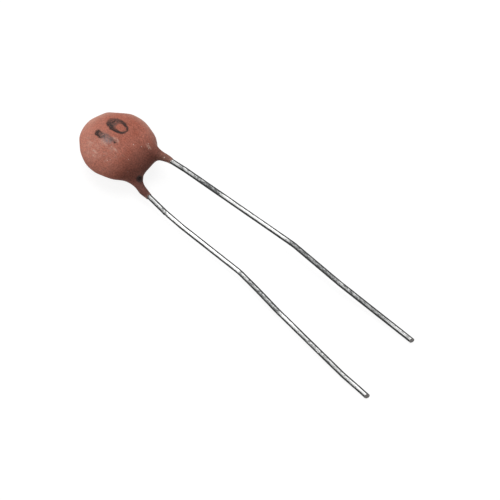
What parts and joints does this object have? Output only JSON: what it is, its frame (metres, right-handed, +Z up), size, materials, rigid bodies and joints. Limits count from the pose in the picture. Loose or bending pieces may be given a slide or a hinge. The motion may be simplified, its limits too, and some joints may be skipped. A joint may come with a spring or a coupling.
{
  "type": "ceramic disc capacitor",
  "caption": "Round ceramic capacitor dipped in a domed terracotta coating that tapers down its gently bent tinned wire leads, lying on its flat side.",
  "frame": {"origin": "on the floor, under the middle of the whole part as it lies at rest", "axes": "+X runs along the leads, away from the disc; +Z is up, out of the disc's front face; the front lead is on the +Y side"},
  "size_m": [0.041, 0.0088, 0.004],
  "materials": {
    "coating": "satin phenolic dip, lightly scuffed",
    "ceramic": "matt fired",
    "silver": "fired silver, satin",
    "solder": "dull soft solder",
    "lead_wire": "bright tinned wire with grey handling marks"
  },
  "bodies": {
    "root": {"coating": "coating", "ceramic_disc": "ceramic", "front_electrode": "silver", "back_electrode": "silver", "front_solder": "solder", "back_solder": "solder", "front_lead": "lead_wire", "back_lead": "lead_wire"}
  },
  "joints": []
}
